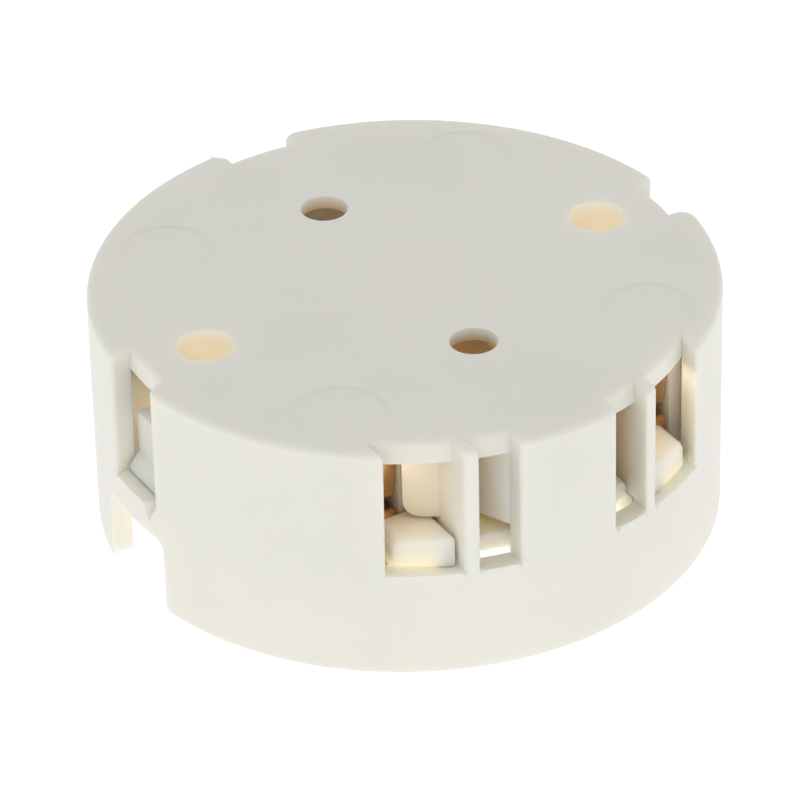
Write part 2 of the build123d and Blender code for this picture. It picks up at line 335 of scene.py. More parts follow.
# %% Softbox, table lamp and amber lamp
UP, DOWN = Vector((0, 0, 1)), Vector((0, 0, -1))
SOFTBOX_PLACE = Vector((-0.25, -0.35, 0.55))
SOFTBOX_SIZE = 0.6
SOFTBOX_POWER = 0.4
TABLE_LAMP_GAP = 0.1 * MM
TABLE_LAMP_HEIGHT = 0.3 * MM
TABLE_LAMP_SPREAD = math.radians(50)
TABLE_LAMP_POWER = 0.004
AMBER_LAMP_RADIUS = 2.5 * MM
AMBER_LAMP_HEIGHT = 16.9 * MM
AMBER_LAMP_POWER = 0.00035
AMBER_LIGHT = (1, 0.5, 0.2)


def hang(light, place, facing, power, colour=(1, 1, 1)):
    """Put a light in its place, out of the camera's sight."""
    lamp = bpy.data.objects.new(light.name, light)
    turn = (-facing).to_track_quat("Z", "Y").to_matrix().to_4x4()
    lamp.matrix_world = Matrix.Translation(place) @ turn
    lamp.visible_camera = False
    light.energy = power
    light.color = colour
    bpy.context.scene.collection.objects.link(lamp)


def panel(name, width, length, spread=math.pi, shape="RECTANGLE"):
    """A flat lamp."""
    light = bpy.data.lights.new(name, "AREA")
    light.shape = shape
    light.size, light.size_y = width, length
    light.spread = spread
    return light


hang(panel("softbox", SOFTBOX_SIZE, SOFTBOX_SIZE), SOFTBOX_PLACE, -SOFTBOX_PLACE, SOFTBOX_POWER)
table_lamp_size = 2 * (inner_radius - TABLE_LAMP_GAP)
table_lamp = panel("table_lamp", table_lamp_size, table_lamp_size, TABLE_LAMP_SPREAD, "ELLIPSE")
hang(table_lamp, UP * TABLE_LAMP_HEIGHT, UP, TABLE_LAMP_POWER)
amber_lamp = bpy.data.lights.new("amber_lamp", "POINT")
amber_lamp.shadow_soft_size = AMBER_LAMP_RADIUS
hang(amber_lamp, UP * AMBER_LAMP_HEIGHT, DOWN, AMBER_LAMP_POWER, AMBER_LIGHT)

# %% Lamps in pairs
WARM, YELLOW, COOL = (1, 0.86, 0.66), (1, 0.85, 0.55), (0.9, 0.95, 1)
LAMP_DROP = 0.2 * MM
WINDOW_LAMP = (1.4 * MM, 4.4 * MM)
WINDOW_LAMP_X, WINDOW_LAMP_Y = 13.4 * MM, -21.0 * MM
WINDOW_LAMP_POWER = {-1: 0.00009, 1: 0.00012}
SIDE_LAMP = (3 * MM, 3 * MM)
SIDE_LAMP_X, SIDE_LAMP_Y = 19.0 * MM, 10.5 * MM
SIDE_LAMP_POWER = 0.0003
POST_LAMP = (3.4 * MM, 3.4 * MM)
POST_LAMP_HEIGHT = 0.4 * MM
POST_LAMP_SPREAD = math.radians(20)
POST_LAMP_POWER = 0.0003
FOOT_LAMP = (4 * MM, 0.16 * MM)
FOOT_LAMP_Y = -22.55 * MM
FOOT_LAMP_LIFT = 0.1 * MM
FOOT_LAMP_POWER = 0.00003

ceiling = band_underside - LAMP_DROP
wide_middle = (WIRE_JAMBS[2] + WIRE_JAMBS[3]) / 2
for side in (-1, 1):
    window_place = Vector((side * WINDOW_LAMP_X, WINDOW_LAMP_Y, ceiling))
    hang(panel("window_lamp", *WINDOW_LAMP), window_place, DOWN, WINDOW_LAMP_POWER[side], WARM)
    side_place = Vector((side * SIDE_LAMP_X, SIDE_LAMP_Y, ceiling))
    hang(panel("side_lamp", *SIDE_LAMP), side_place, DOWN, SIDE_LAMP_POWER, COOL)
    post_place = Vector((side * post_x, 0, POST_LAMP_HEIGHT))
    hang(panel("post_lamp", *POST_LAMP, POST_LAMP_SPREAD), post_place, UP, POST_LAMP_POWER, WARM)
    foot_place = Vector((side * wide_middle, FOOT_LAMP_Y, SILL_HEIGHT + FOOT_LAMP_LIFT))
    outward = Vector((foot_place.x, foot_place.y, 0))
    hang(panel("foot_lamp", *FOOT_LAMP), foot_place, outward, FOOT_LAMP_POWER, YELLOW)

# %% [markdown]
# ## The housing: one spun profile
#
# The cup is round, so it could be a cylinder that is inset and hollowed. Its windows would
# then be cut with a boolean, and their edges would fall anywhere between the cylinder's own
# edges, which spoils every rounding later. Here the profile of the wall is spun instead, in
# arcs that stop at each jamb. Each window is then a clean patch of faces that can be taken out.

# %% Where the jambs stand round the cup
STEP = math.radians(2.0)


def turn_of(half, radius):
    """How far from the middle of an opening its jamb stands on a circle."""
    return math.asin(half / radius)


latch_facings = [quarter * math.pi / 2 for quarter in (1, 2, 3)]
jambs = [(0.0, side * x) for x in WIRE_JAMBS for side in (-1, 1)]
jambs += [(facing, side * half) for facing in latch_facings
          for half in (LATCH_HALF, NOTCH_HALF) for side in (-1, 1)]


def jamb_angle(jamb, radius):
    """The angle of a jamb at a radius, counted from -Y towards +X."""
    facing, offset = jamb
    return facing + turn_of(offset, radius)


jambs.sort(key=lambda jamb: jamb_angle(jamb, outer_radius))
outer_stops = [jamb_angle(jamb, outer_radius) for jamb in jambs]
inner_stops = [jamb_angle(jamb, inner_radius) for jamb in jambs]
outer_stops.append(outer_stops[0] + 2 * math.pi)
inner_stops.append(inner_stops[0] + 2 * math.pi)
shoulder = turn_of(NOTCH_HALF, outer_radius) - turn_of(LATCH_HALF, outer_radius)
arc_steps = []
for start, end in zip(outer_stops, outer_stops[1:]):
    keep_whole = abs(end - start - shoulder) < STEP / 10
    arc_steps.append(1 if keep_whole else max(1, round((end - start) / STEP)))
print(len(jambs), "jambs and", sum(arc_steps), "columns round the cup")


def on_circle(angle, radius, z):
    """A point of the cup, with angles counted from -Y towards +X."""
    return Vector((radius * math.sin(angle), -radius * math.cos(angle), z))


# %% Draw the profile and spin it
profile = [
    (band_radius, plate_underside),
    (band_radius, band_underside),
    (inner_radius, band_underside),
    (inner_radius, SILL_HEIGHT),
    (inner_radius, NOTCH_HEIGHT),
    (inner_radius, 0),
    (outer_radius, 0),
    (outer_radius, NOTCH_HEIGHT),
    (outer_radius, SILL_HEIGHT),
    (outer_radius, height),
    (inner_radius, height),
]
points = [on_circle(outer_stops[0], radius, z) for radius, z in profile]
housing = add("plane", "housing_cup", size=MM, location=points[0])
with editing(housing):
    draw(housing, points)
    pick(housing, "VERT", lambda v: True)
    for start, end, steps in zip(outer_stops, outer_stops[1:], arc_steps):
        bpy.ops.mesh.spin(steps=steps, angle=start - end, center=(0, 0, 0), axis=(0, 0, 1))
    bpy.ops.mesh.select_all(action="SELECT")
    bpy.ops.mesh.remove_doubles(threshold=CLOSE)
print("spun wall:", len(housing.data.polygons), "faces")

# %% Close the back plate
with editing(housing):
    for z in (height, plate_underside):
        pick(housing, "EDGE", lambda e: e.is_boundary and near(middle(e).z, z))
        bpy.ops.mesh.edge_face_add()
    face_outwards()
print("closed cup:", len(housing.data.polygons), "faces")

# %% [markdown]
# ## Windows and notches
#
# Each opening goes right through the wall. They could be cut with booleans, but the patches of
# faces are there already. They are deleted on both sides of the wall, the open edges at the
# sill of a window or the top of a notch are bridged, and those at the back plate too. What is
# left open are the jambs, which are filled as holes.

# %% Take out the windows and notches
JAMB_CORNERS = 6

half_wall = SKIRT_WALL / 2


def angle_of(point):
    """The angle of a point, counted from -Y towards +X."""
    return math.atan2(point.x, -point.y)


def within(point, facing, low, high):
    """Whether a point stands between two angles, seen from an opening's middle."""
    turn = (angle_of(point) - facing + math.pi) % (2 * math.pi) - math.pi
    return low < turn < high


def radius_of(point):
    """How far a point is from the axis."""
    return math.hypot(point.x, point.y)


openings = []
wire_turns = [turn_of(x, outer_radius) for x in WIRE_JAMBS]
for low, high in (wire_turns[:2], wire_turns[2:]):
    openings.append((0.0, low, high, SILL_HEIGHT, height))
    openings.append((0.0, -high, -low, SILL_HEIGHT, height))
latch, notch = turn_of(LATCH_HALF, outer_radius), turn_of(NOTCH_HALF, outer_radius)
for facing in latch_facings:
    openings.append((facing, -latch, latch, SILL_HEIGHT, height))
    openings.append((facing, -notch, notch, 0, NOTCH_HEIGHT))

with editing(housing):
    for facing, low, high, foot, top in openings:
        pick(housing, "FACE", lambda f: radius_of(middle(f)) > inner_radius - half_wall / 2
             and foot - CLOSE < middle(f).z < top + CLOSE and within(middle(f), facing, low, high))
        bpy.ops.mesh.delete(type="FACE")
        sill = foot if top == height else top
        pick(housing, "EDGE", lambda e: e.is_boundary and near(middle(e).z, sill)
             and within(middle(e), facing, low, high))
        bpy.ops.mesh.bridge_edge_loops()
        if top == height:
            pick(housing, "EDGE", lambda e: e.is_boundary and middle(e).z > band_underside - CLOSE
                 and near(e.verts[0].co.z, e.verts[1].co.z) and within(middle(e), facing, low, high))
            bpy.ops.mesh.bridge_edge_loops()
    bpy.ops.mesh.select_all(action="SELECT")
    bpy.ops.mesh.fill_holes(sides=JAMB_CORNERS)
    face_outwards()
    still_open = pick(housing, "EDGE", lambda e: not e.is_manifold)
print(len(openings), "openings,", still_open, "open edges left")

# %% [markdown]
# The jambs of a real mould are parallel, so that its side cores can be drawn straight out.
# The spun ones point to the axis. Sliding the inner corner of each jamb along the inner
# circle makes them parallel, and the columns between two jambs share out the slide. Which
# vertices belong to which column is noted before the first slide, so that no column is caught
# twice. After that the back is dissolved into one flat face, which gives roundings room.

# %% Make the jambs parallel
STRAIGHT = 0.9

columns = {}
for arc, steps in enumerate(arc_steps):
    for step in range(steps):
        share = step / steps
        old_angle = outer_stops[arc] + share * (outer_stops[arc + 1] - outer_stops[arc])
        new_angle = inner_stops[arc] + share * (inner_stops[arc + 1] - inner_stops[arc])
        old = on_circle(old_angle, inner_radius, 0)
        move = on_circle(new_angle, inner_radius, 0) - old
        ring = [v for v in housing.data.vertices if near(v.co.x, old.x) and near(v.co.y, old.y)]
        columns[tuple(v.index for v in ring)] = move
with editing(housing):
    for column, move in columns.items():
        pick(housing, "VERT", lambda v: v.index in column)
        bpy.ops.transform.translate(value=move)
    pick(housing, "FACE", lambda f: f.normal.z > STRAIGHT and near(middle(f).z, height))
    bpy.ops.mesh.dissolve_faces()
print(len(columns), "inner columns slid")

# %% [markdown]
# ## Soft corners
#
# A mould has no razor edges. The outer corners of the jambs are rounded so that a wire slips
# in, the notches have round corners so that the springy bridge above them doesn't crack, and
# their feet flare out. The bevel operator does each of these on its own set of edges, the
# large ones first, while every edge still has room beside it. Last comes a very small bevel
# on the other outer edges, because a real edge always catches a thin line of light. It is
# done now, on the clean spun mesh. The guides that are added later carry their own.

# %% Round the corners of the openings and the rims
NOTCH_ROUND = 1.2 * MM
NOTCH_FLARE = 0.8 * MM
LATCH_JAMB_ROUND = 1.7 * MM
OUTER_ROUND = 0.5 * MM
RIM_ROUND = 0.3 * MM
FINE_EDGE = 0.1 * MM
SHARP = math.radians(40)


def sharp(edge):
    """Whether two faces meet at a clear angle along an edge."""
    return edge.is_manifold and edge.calc_face_angle() > SHARP


def rise(edge):
    """How much higher one end of an edge is than the other."""
    return abs(edge.verts[0].co.z - edge.verts[1].co.z)


def reach(edge):
    """How much further from the axis one end of an edge is than the other."""
    return abs(radius_of(edge.verts[0].co) - radius_of(edge.verts[1].co))


def through_wall(edge, z):
    """Whether a sharp edge goes through the wall at a height."""
    return sharp(edge) and reach(edge) > half_wall and near(middle(edge).z, z)


def level_at(edge, z):
    """Whether an edge lies level at a height."""
    return rise(edge) < CLOSE and near(middle(edge).z, z)


def outer_jamb(edge):
    """Whether an edge is the upright outer corner of a window."""
    above_sill = rise(edge) > SKIRT_WALL and middle(edge).z > SILL_HEIGHT
    return sharp(edge) and above_sill and radius_of(middle(edge)) > outer_radius - half_wall


def wide_jamb(edge):
    """Whether an edge is a jamb of the rear latch window, or the front jamb of one at the side."""
    place = middle(edge)
    at_latch = place.y > inner_radius or abs(place.x) > inner_radius and place.y < 0
    return at_latch and outer_jamb(edge)


def meets_guide(edge):
    """Whether an edge is at the back of a wire window, where the wire guides will stand."""
    place = middle(edge)
    at_front = place.y < 0 and abs(place.x) < WIRE_JAMBS[3] + half_wall
    return at_front and place.z > SILL_HEIGHT + CLOSE and radius_of(place) < outer_radius - half_wall


with editing(housing):
    corners = pick(housing, "EDGE", lambda e: through_wall(e, NOTCH_HEIGHT))
    round_edges(NOTCH_ROUND, segments=5)
    feet = pick(housing, "EDGE", lambda e: through_wall(e, 0))
    round_edges(NOTCH_FLARE, segments=4)
    wide_jambs = pick(housing, "EDGE", wide_jamb)
    round_edges(LATCH_JAMB_ROUND, segments=6)
    outer_edges = pick(housing, "EDGE", lambda e: outer_jamb(e) or sharp(e) and level_at(e, height))
    round_edges(OUTER_ROUND, segments=4)
    rim_edges = pick(housing, "EDGE", lambda e: sharp(e) and level_at(e, 0))
    round_edges(RIM_ROUND, segments=3)
    fine_edges = pick(housing, "EDGE", lambda e: sharp(e) and e.is_convex and not meets_guide(e))
    round_edges(FINE_EDGE, segments=2)
print(f"{corners} notch corners, {feet} notch feet, {wide_jambs} latch jambs")
print(f"{outer_edges} jamb and back edges, {rim_edges} rim edges, {fine_edges} fine edges")

# %% [markdown]
# ## Inside the cup
#
# Behind each pair of windows hang a partition, a guide and a funnel that lead a stripped wire
# into its terminal, and two hollow posts carry the fixing screws. They could be extruded from
# the plate, but they cross the band under its edge, so separate blocks that reach into the
# plate are added with a boolean union. Each is a hair narrower than the jamb beside it, so no
# two faces lie in the same plane.

# %% Wire guides
GUIDE_SETBACK = 4.1 * MM
GUIDE_THICKNESS = 1.2 * MM
GUIDE_REACH = 2.7 * MM
GUIDE_TURN = math.radians(32)
GUIDE_ROUND = 1.6 * MM
FUNNEL_REACH = 1.5 * MM
FUNNEL_DEPTH = 3.2 * MM
FUNNEL_FOOT = 2.8 * MM
LEDGE = 3.0 * MM
SLIDE_CLEARANCE = 0.2 * MM
OVERLAP = 0.5 * MM
HAIR = 0.03 * MM

narrow_start, narrow_end, wide_start, wide_end = WIRE_JAMBS
ledge_top = SILL_HEIGHT + LEDGE
guide_low = ledge_top + SLIDE_CLEARANCE
guide_top = plate_underside + OVERLAP
guide_front = GUIDE_SETBACK - inner_radius
guide_back = guide_front + GUIDE_REACH * math.tan(GUIDE_TURN) + GUIDE_THICKNESS * math.cos(GUIDE_TURN)
guide_end = wide_start + GUIDE_REACH / math.cos(GUIDE_TURN)
divider_x = (narrow_end + wide_start) / 2
in_wall_y = -math.sqrt((inner_radius + OVERLAP) ** 2 - divider_x**2)
funnel_y = -math.sqrt(inner_radius**2 - narrow_start**2)


def soften(piece, test=lambda edge: True):
    """Give the sharp outer edges of a block, or some of them, their fine bevel."""
    with editing(piece):
        pick(piece, "EDGE", lambda e: sharp(e) and e.is_convex and test(e))
        round_edges(FINE_EDGE, segments=2)


def mirrored(piece, name):
    """A copy of a piece on the other side of the centre plane, with its faces turned out again."""
    select_only(piece)
    bpy.ops.object.duplicate()
    copy = bpy.context.object
    copy.name = name
    copy.data.name = name
    with editing(copy):
        bpy.ops.mesh.select_all(action="SELECT")
        bpy.ops.transform.mirror(constraint_axis=(True, False, False), center_override=(0, 0, 0))
        face_outwards()
    return copy


partition = block("partition", (narrow_end + HAIR, in_wall_y, SILL_HEIGHT + SLIDE_CLEARANCE),
                  (wide_start - HAIR, guide_back - HAIR, guide_top))
guide = block("guide", (wide_start - OVERLAP, guide_front, guide_low),
              (guide_end, guide_front + GUIDE_THICKNESS, guide_top - HAIR))
with editing(guide):
    pick(guide, "EDGE", lambda e: near(middle(e).x, guide_end) and near(middle(e).z, guide_low))
    round_edges(GUIDE_ROUND, segments=6)
    bpy.ops.mesh.select_all(action="SELECT")
    corner = (wide_start, guide_front, 0)
    bpy.ops.transform.rotate(value=-GUIDE_TURN, orient_axis="Z", center_override=corner)
funnel_x = narrow_start + FUNNEL_REACH
funnel = block("funnel", (funnel_x - GUIDE_THICKNESS, funnel_y + FUNNEL_DEPTH, SILL_HEIGHT + FUNNEL_FOOT),
               (funnel_x, guide_back, guide_top + HAIR))
with editing(funnel):
    pick(funnel, "FACE", lambda f: f.normal.y < -STRAIGHT)
    to_wall, into_wall = (-FUNNEL_REACH - HAIR, -FUNNEL_DEPTH - HAIR, 0), (-HAIR, -OVERLAP, 0)
    for step in (to_wall, into_wall):
        bpy.ops.mesh.extrude_region_move(TRANSFORM_OT_translate={"value": step})
guides = [partition, guide, funnel]
for piece in guides:
    soften(piece)
guides += [mirrored(piece, piece.name + "_left") for piece in guides]
unite(housing, *guides)
print("six wire guides, housing now", len(housing.data.polygons), "faces")

# %% [markdown]
# ## Screw posts, holes and mould marks
#
# Two tubular posts take the fixing screws from below, and two smaller holes go through the
# plate alone. Four shallow round marks on the back are where inserts of the mould meet it.
# All are upright cylinders, added or cut while the back is still one flat face. Only the
# marks are cut with a flat cone: its gentle slope is not taken for a sharp edge later.

# %% Screw posts, holes and mould marks
POST_RADIUS = 4.0 * MM
MARK_RADIUS = 4.25 * MM
MARK_DEPTH = 0.1 * MM
MARK_SLOPE = 0.2 * MM
MARK_PLACE = 15.5 * MM
THROUGH = 1.0 * MM


def cone(name, x, y, low_radius, high_radius, low, high, sides=64):
    """An upright cone between two heights."""
    place = (x, y, (low + high) / 2)
    return add("cone", name, vertices=sides, radius1=low_radius, radius2=high_radius,
               depth=high - low, location=place)


above_back = height + THROUGH
for side in (-1, 1):
    unite(housing, rod("post", side * post_x, 0, POST_RADIUS, SILL_HEIGHT, guide_top))
    cut(housing, rod("post_hole", side * post_x, 0, post_hole_radius, SILL_HEIGHT - THROUGH, above_back))
    cut(housing, rod("plate_hole", 0, plate_hole_shift + side * plate_hole_y, plate_hole_radius,
                     plate_underside - THROUGH, above_back))
    for y in (-MARK_PLACE, MARK_PLACE):
        cut(housing, cone("mark", side * MARK_PLACE, y, MARK_RADIUS - MARK_SLOPE, MARK_RADIUS + MARK_SLOPE,
                          height - MARK_DEPTH, height + MARK_DEPTH))
hole_places = [(side * post_x, 0) for side in (-1, 1)]
hole_places += [(0, plate_hole_shift + side * plate_hole_y) for side in (-1, 1)]


def hole_rim(edge):
    """Whether an edge is part of the upper rim of a hole."""
    distances = [math.hypot(v.co.x - x, v.co.y - y) for v in edge.verts for x, y in hole_places]
    on_rim = sum(distance < post_hole_radius + CLOSE for distance in distances) == 2
    return on_rim and level_at(edge, height)


weld(housing)
soften(housing, hole_rim)
print("holes cut, housing now", len(housing.data.polygons), "faces")

# %% [markdown]
# ## Shading
#
# Smooth shading lets the roundings look round. Edges that are still sharp stay sharp, and a
# modifier weights the normals by face size, so that large flat faces stay flat beside them.

# %% Shade the housing
FACE_WEIGHT = 80


def shade(piece):
    """Shade a finished piece smooth, and tell what it is made of."""
    weights = piece.modifiers.new("flat faces stay flat", "WEIGHTED_NORMAL")
    weights.weight = FACE_WEIGHT
    weights.keep_sharp = True
    select_only(piece)
    bpy.ops.object.shade_smooth_by_angle(angle=SHARP)
    apply(piece, weights)
    mesh = bmesh.new()
    mesh.from_mesh(piece.data)
    loose = sum(not e.is_manifold for e in mesh.edges)
    volume = mesh.calc_volume(signed=True)
    mesh.free()
    triangles = sum(len(face.vertices) - 2 for face in piece.data.polygons)
    print(f"{piece.name}: {triangles} triangles, {loose} open edges, {volume / MM**3:.1f} mm3")


shade(housing)

# %% [markdown]
# ## The contact carrier: deck and ledges
#
# A second moulding closes the cup from the lamp side. It is a round deck with ledges that
# stand in the wire windows, boxes for the terminals, three latch lugs and a socket block. All
# of that could be drawn as one mesh, but a disc with blocks added to it follows the way such a
# part is designed. Each block reaches a little into the deck, so the unions are clean.
#
# The ledge of a wide window reaches over the sill. The ledge of a narrow one stays back, and
# the deck below it has a slot, so that the bright table shines through under the ledge. A round
# rod trims the front of each. The two rods have different numbers of sides, chosen so that no
# facet of a front ends in a sliver beside a corner, where its bevel would fold over.

# %% Deck and ledges
FIT_CLEARANCE = 0.35 * MM
DECK = 2.4 * MM
LEDGE_ROUND = 1.2 * MM
LEDGE_EDGE = 0.3 * MM
LEDGE_REACH = 1.0 * MM
LEDGE_INNER_GAP = 0.3 * MM
LEDGE_OUTER_GAP = 0.9 * MM
NARROW_LEDGE = 1.6 * MM
NARROW_TAIL = 1.8 * MM
NARROW_GAP = 0.45 * MM
DECK_SLOT = 5.0 * MM
RIM_SIDES = 180
WIDE_SIDES, NARROW_SIDES = 96, 72

deck_radius = inner_radius - FIT_CLEARANCE
deck_top = SILL_HEIGHT
deck_bottom = deck_top - DECK
narrow_front = deck_radius - NARROW_GAP
tail_start = narrow_start - NARROW_TAIL


def ledge(name, limits, low, top, corner, front_radius, sides):
    """A step on the deck's edge, with one round corner and a soft front edge."""
    start, end = limits
    step = block(name, (start, -outer_radius, low), (end, guide_back, top))
    with editing(step):
        pick(step, "EDGE", lambda e: near(middle(e).x, end) and near(middle(e).z, top))
        round_edges(corner, segments=6)
    keep_inside(step, rod("front", 0, 0, front_radius, low - THROUGH, top + THROUGH, sides))
    weld(step)
    with editing(step):
        pick(step, "EDGE", lambda e: sharp(e) and middle(e).z > low + CLOSE)
        round_edges(LEDGE_EDGE, segments=3)
    weld(step)
    return step


carrier = rod("carrier", 0, 0, deck_radius, deck_bottom, deck_top, RIM_SIDES)
soften(carrier)
slot = block("slot", (tail_start, -outer_radius, deck_bottom - THROUGH),
             (narrow_end, DECK_SLOT - inner_radius, deck_top + THROUGH))
cut(carrier, mirrored(slot, "slot_left"), slot)

wide_limits = (wide_start + LEDGE_INNER_GAP, wide_end - LEDGE_OUTER_GAP)
over_sill = deck_top + SLIDE_CLEARANCE
wide_front = inner_radius + LEDGE_REACH
wide_ledge = ledge("wide_ledge", wide_limits, over_sill, ledge_top, LEDGE_ROUND,
                   wide_front, WIDE_SIDES)
foot = block("foot", (wide_limits[0] + HAIR, -outer_radius, deck_top - OVERLAP),
             (wide_limits[1] - HAIR, guide_back - HAIR, deck_top + OVERLAP))
keep_inside(foot, rod("foot_front", 0, 0, deck_radius - HAIR, deck_bottom, height, RIM_SIDES))
unite(wide_ledge, foot)
narrow_limits = (tail_start - HAIR, narrow_end - SLIDE_CLEARANCE)
narrow_top = deck_top + NARROW_LEDGE
narrow_ledge = ledge("narrow_ledge", narrow_limits, deck_top - HAIR, narrow_top, LEDGE_ROUND / 2,
                     narrow_front, NARROW_SIDES)
left_ledges = [mirrored(step, step.name + "_left") for step in (wide_ledge, narrow_ledge)]
unite(carrier, *left_ledges, wide_ledge, narrow_ledge)
print(f"deck {2 * deck_radius / MM:.1f} mm across with four ledges, {len(carrier.data.polygons)} faces")

# %% [markdown]
# ## Terminal boxes and latch lugs
#
# Each terminal stands in a box that is open to its window. A block is hollowed by a second
# one, and a slot at the foot of its back wall lets the contact strip out. The lugs are tall
# and have a small nose, which slides past the wall on the way in and then hooks over the
# sill. Their outline is drawn point by point, filled, and extruded to their width.

# %% Terminal boxes
TERMINAL_WIDTH = 3.2 * MM
TERMINAL_CLEARANCE = 0.3 * MM
CHAMBER_WALL = 1.2 * MM
CHAMBER_DEPTH = 4.6 * MM
HEADROOM = 1.5 * MM
STRIP = 0.4 * MM

wall_top = band_underside - HEADROOM
contact_front = guide_back + TERMINAL_CLEARANCE
chamber_back = contact_front + CHAMBER_DEPTH
chamber_exit = chamber_back + CHAMBER_WALL
inner_terminal = (narrow_start + narrow_end) / 2
outer_terminal = wide_end - TERMINAL_CLEARANCE - TERMINAL_WIDTH / 2
chamber_half = TERMINAL_WIDTH / 2 + TERMINAL_CLEARANCE
exit_top = deck_top + STRIP + TERMINAL_CLEARANCE

for centre in (inner_terminal, outer_terminal):
    near_wall, far_wall = centre - chamber_half, centre + chamber_half
    box = block("box", (near_wall - CHAMBER_WALL, contact_front, deck_top - OVERLAP),
                (far_wall + CHAMBER_WALL, chamber_exit, wall_top))
    cut(box, block("hollow", (near_wall, contact_front - THROUGH, deck_bottom),
                   (far_wall, chamber_back, height)))
    cut(box, block("strip_exit", (near_wall + SLIDE_CLEARANCE, chamber_back - THROUGH, deck_bottom),
                   (far_wall - SLIDE_CLEARANCE, chamber_exit + THROUGH, exit_top)))
    soften(box, lambda e: near(middle(e).z, wall_top))
    keep_inside(box, rod("trim", 0, 0, deck_radius - HAIR, 0, height, RIM_SIDES))
    unite(carrier, mirrored(box, "box_left"), box)
print("four terminal boxes,", len(carrier.data.polygons), "faces")

# %% Latch lugs
LUG = 1.2 * MM
LUG_HEIGHT = 6.0 * MM
NOSE_REACH = 1.0 * MM
NOSE_HEIGHT = 2.0 * MM
NOSE_FACE = 0.6 * MM

lug_half = LATCH_HALF - TERMINAL_CLEARANCE
lug_outline = [
    (deck_radius - HAIR, deck_top - OVERLAP),
    (deck_radius - LUG, deck_top - OVERLAP),
    (deck_radius - LUG, deck_top + LUG_HEIGHT),
    (deck_radius, deck_top + LUG_HEIGHT),
    (deck_radius, deck_top + NOSE_HEIGHT),
    (deck_radius + NOSE_REACH, deck_top + NOSE_FACE),
    (deck_radius + NOSE_REACH, deck_top + HAIR),
    (deck_radius - HAIR, deck_top + HAIR),
]
lug_points = [Vector((x, -lug_half, z)) for x, z in lug_outline]
for quarter in (0, 1, 2):
    lug = add("plane", "lug", size=MM, location=lug_points[0])
    with editing(lug):
        draw(lug, lug_points)
        pick(lug, "VERT", lambda v: True)
        bpy.ops.mesh.edge_face_add()
        bpy.ops.mesh.extrude_region_move(TRANSFORM_OT_translate={"value": (0, 2 * lug_half, 0)})
        face_outwards()
    soften(lug, lambda e: middle(e).z > deck_top + NOSE_FACE / 2)
    with editing(lug):
        bpy.ops.mesh.select_all(action="SELECT")
        bpy.ops.transform.rotate(value=-quarter * math.pi / 2, orient_axis="Z", center_override=(0, 0, 0))
    unite(carrier, lug)
print("three latch lugs,", len(carrier.data.polygons), "faces")

# %% [markdown]
# ## Socket block
#
# The lamp plugs in from below, against a block with a well for the lamp's post and four pin
# holes. Its upright corners are rounded with a bevel before it joins the deck. The holes are
# cut last, with small cones at their mouths that guide the pins.

# %% Socket block, well and holes
SOCKET_X = 20.0 * MM
SOCKET_Y = 26.0 * MM
SOCKET_ROUND = 3.0 * MM
WELL_X = 12.0 * MM
WELL_Y = 8.0 * MM
WELL_DEPTH = 9.0 * MM
WELL_WALL = 1.2 * MM
PIN_SIDES = 48
PIN_LEAD_IN = 0.6 * MM
HEAD_SEAT_RADIUS = 4.2 * MM
HEAD_SEAT_DEPTH = 0.8 * MM

well_roof = socket_face + WELL_DEPTH
socket = block("socket", (-SOCKET_X / 2, -SOCKET_Y / 2, socket_face),
               (SOCKET_X / 2, SOCKET_Y / 2, deck_bottom + OVERLAP))
with editing(socket):
    pick(socket, "EDGE", lambda e: rise(e) > MM)
    round_edges(SOCKET_ROUND, segments=8)
soften(socket)
case_x, case_y = WELL_X / 2 + WELL_WALL, WELL_Y / 2 + WELL_WALL
case = block("case", (-case_x, -case_y, deck_top - OVERLAP), (case_x, case_y, well_roof + WELL_WALL))
soften(case)
unite(carrier, socket, case)
cut(carrier, block("well", (-WELL_X / 2, -WELL_Y / 2, 0), (WELL_X / 2, WELL_Y / 2, well_roof)))
soften(carrier, lambda e: near(middle(e).z, socket_face))
for place in pin_places:
    cut(carrier, rod("pin_hole", place.x, place.y, pin_hole_radius, 0, deck_top + THROUGH, PIN_SIDES))
    mouth = pin_hole_radius + PIN_LEAD_IN
    cut(carrier, cone("lead_in", place.x, place.y, mouth + PIN_LEAD_IN, pin_hole_radius - HAIR,
                      socket_face - PIN_LEAD_IN, socket_face + PIN_LEAD_IN + HAIR, PIN_SIDES))
for side in (-1, 1):
    cut(carrier, rod("screw_hole", side * post_x, 0, post_hole_radius, 0, deck_top + THROUGH))
    cut(carrier, rod("head_seat", side * post_x, 0, HEAD_SEAT_RADIUS, 0, deck_bottom + HEAD_SEAT_DEPTH))
weld(carrier)
shade(carrier)

# %% [markdown]
# ## Contacts, clamps and springs: folded strip
#
# All metal pieces are stamped from strip and folded. The same moves make each of them: draw
# the width of the strip as one edge, extrude that edge along the route of the middle of the
# sheet, bevel the folds to their bend radius, and give the sheet its thickness with a solidify
# modifier. How far a bevel must reach along each leg depends on how sharply the strip turns.

# %% Folded strips
METAL_EDGE = 0.05 * MM


def folded_strip(name, route, across, bend):
    """A sheet without thickness, folded along a route."""
    route = [Vector(point) for point in route]
    strip = add("plane", name, size=MM, location=route[0] - across)
    with editing(strip):
        draw(strip, [-across, across])
        pick(strip, "EDGE", lambda e: True)
        for start, end in zip(route, route[1:]):
            bpy.ops.mesh.extrude_edges_move(TRANSFORM_OT_translate={"value": end - start})
        for before, fold, after in zip(route, route[1:], route[2:]):
            turn = (fold - before).angle(after - fold)
            if turn > STEP:
                pick(strip, "EDGE", lambda e: (middle(e) - fold).length < CLOSE)
                round_edges(bend * math.tan(turn / 2), segments=6)
    return strip


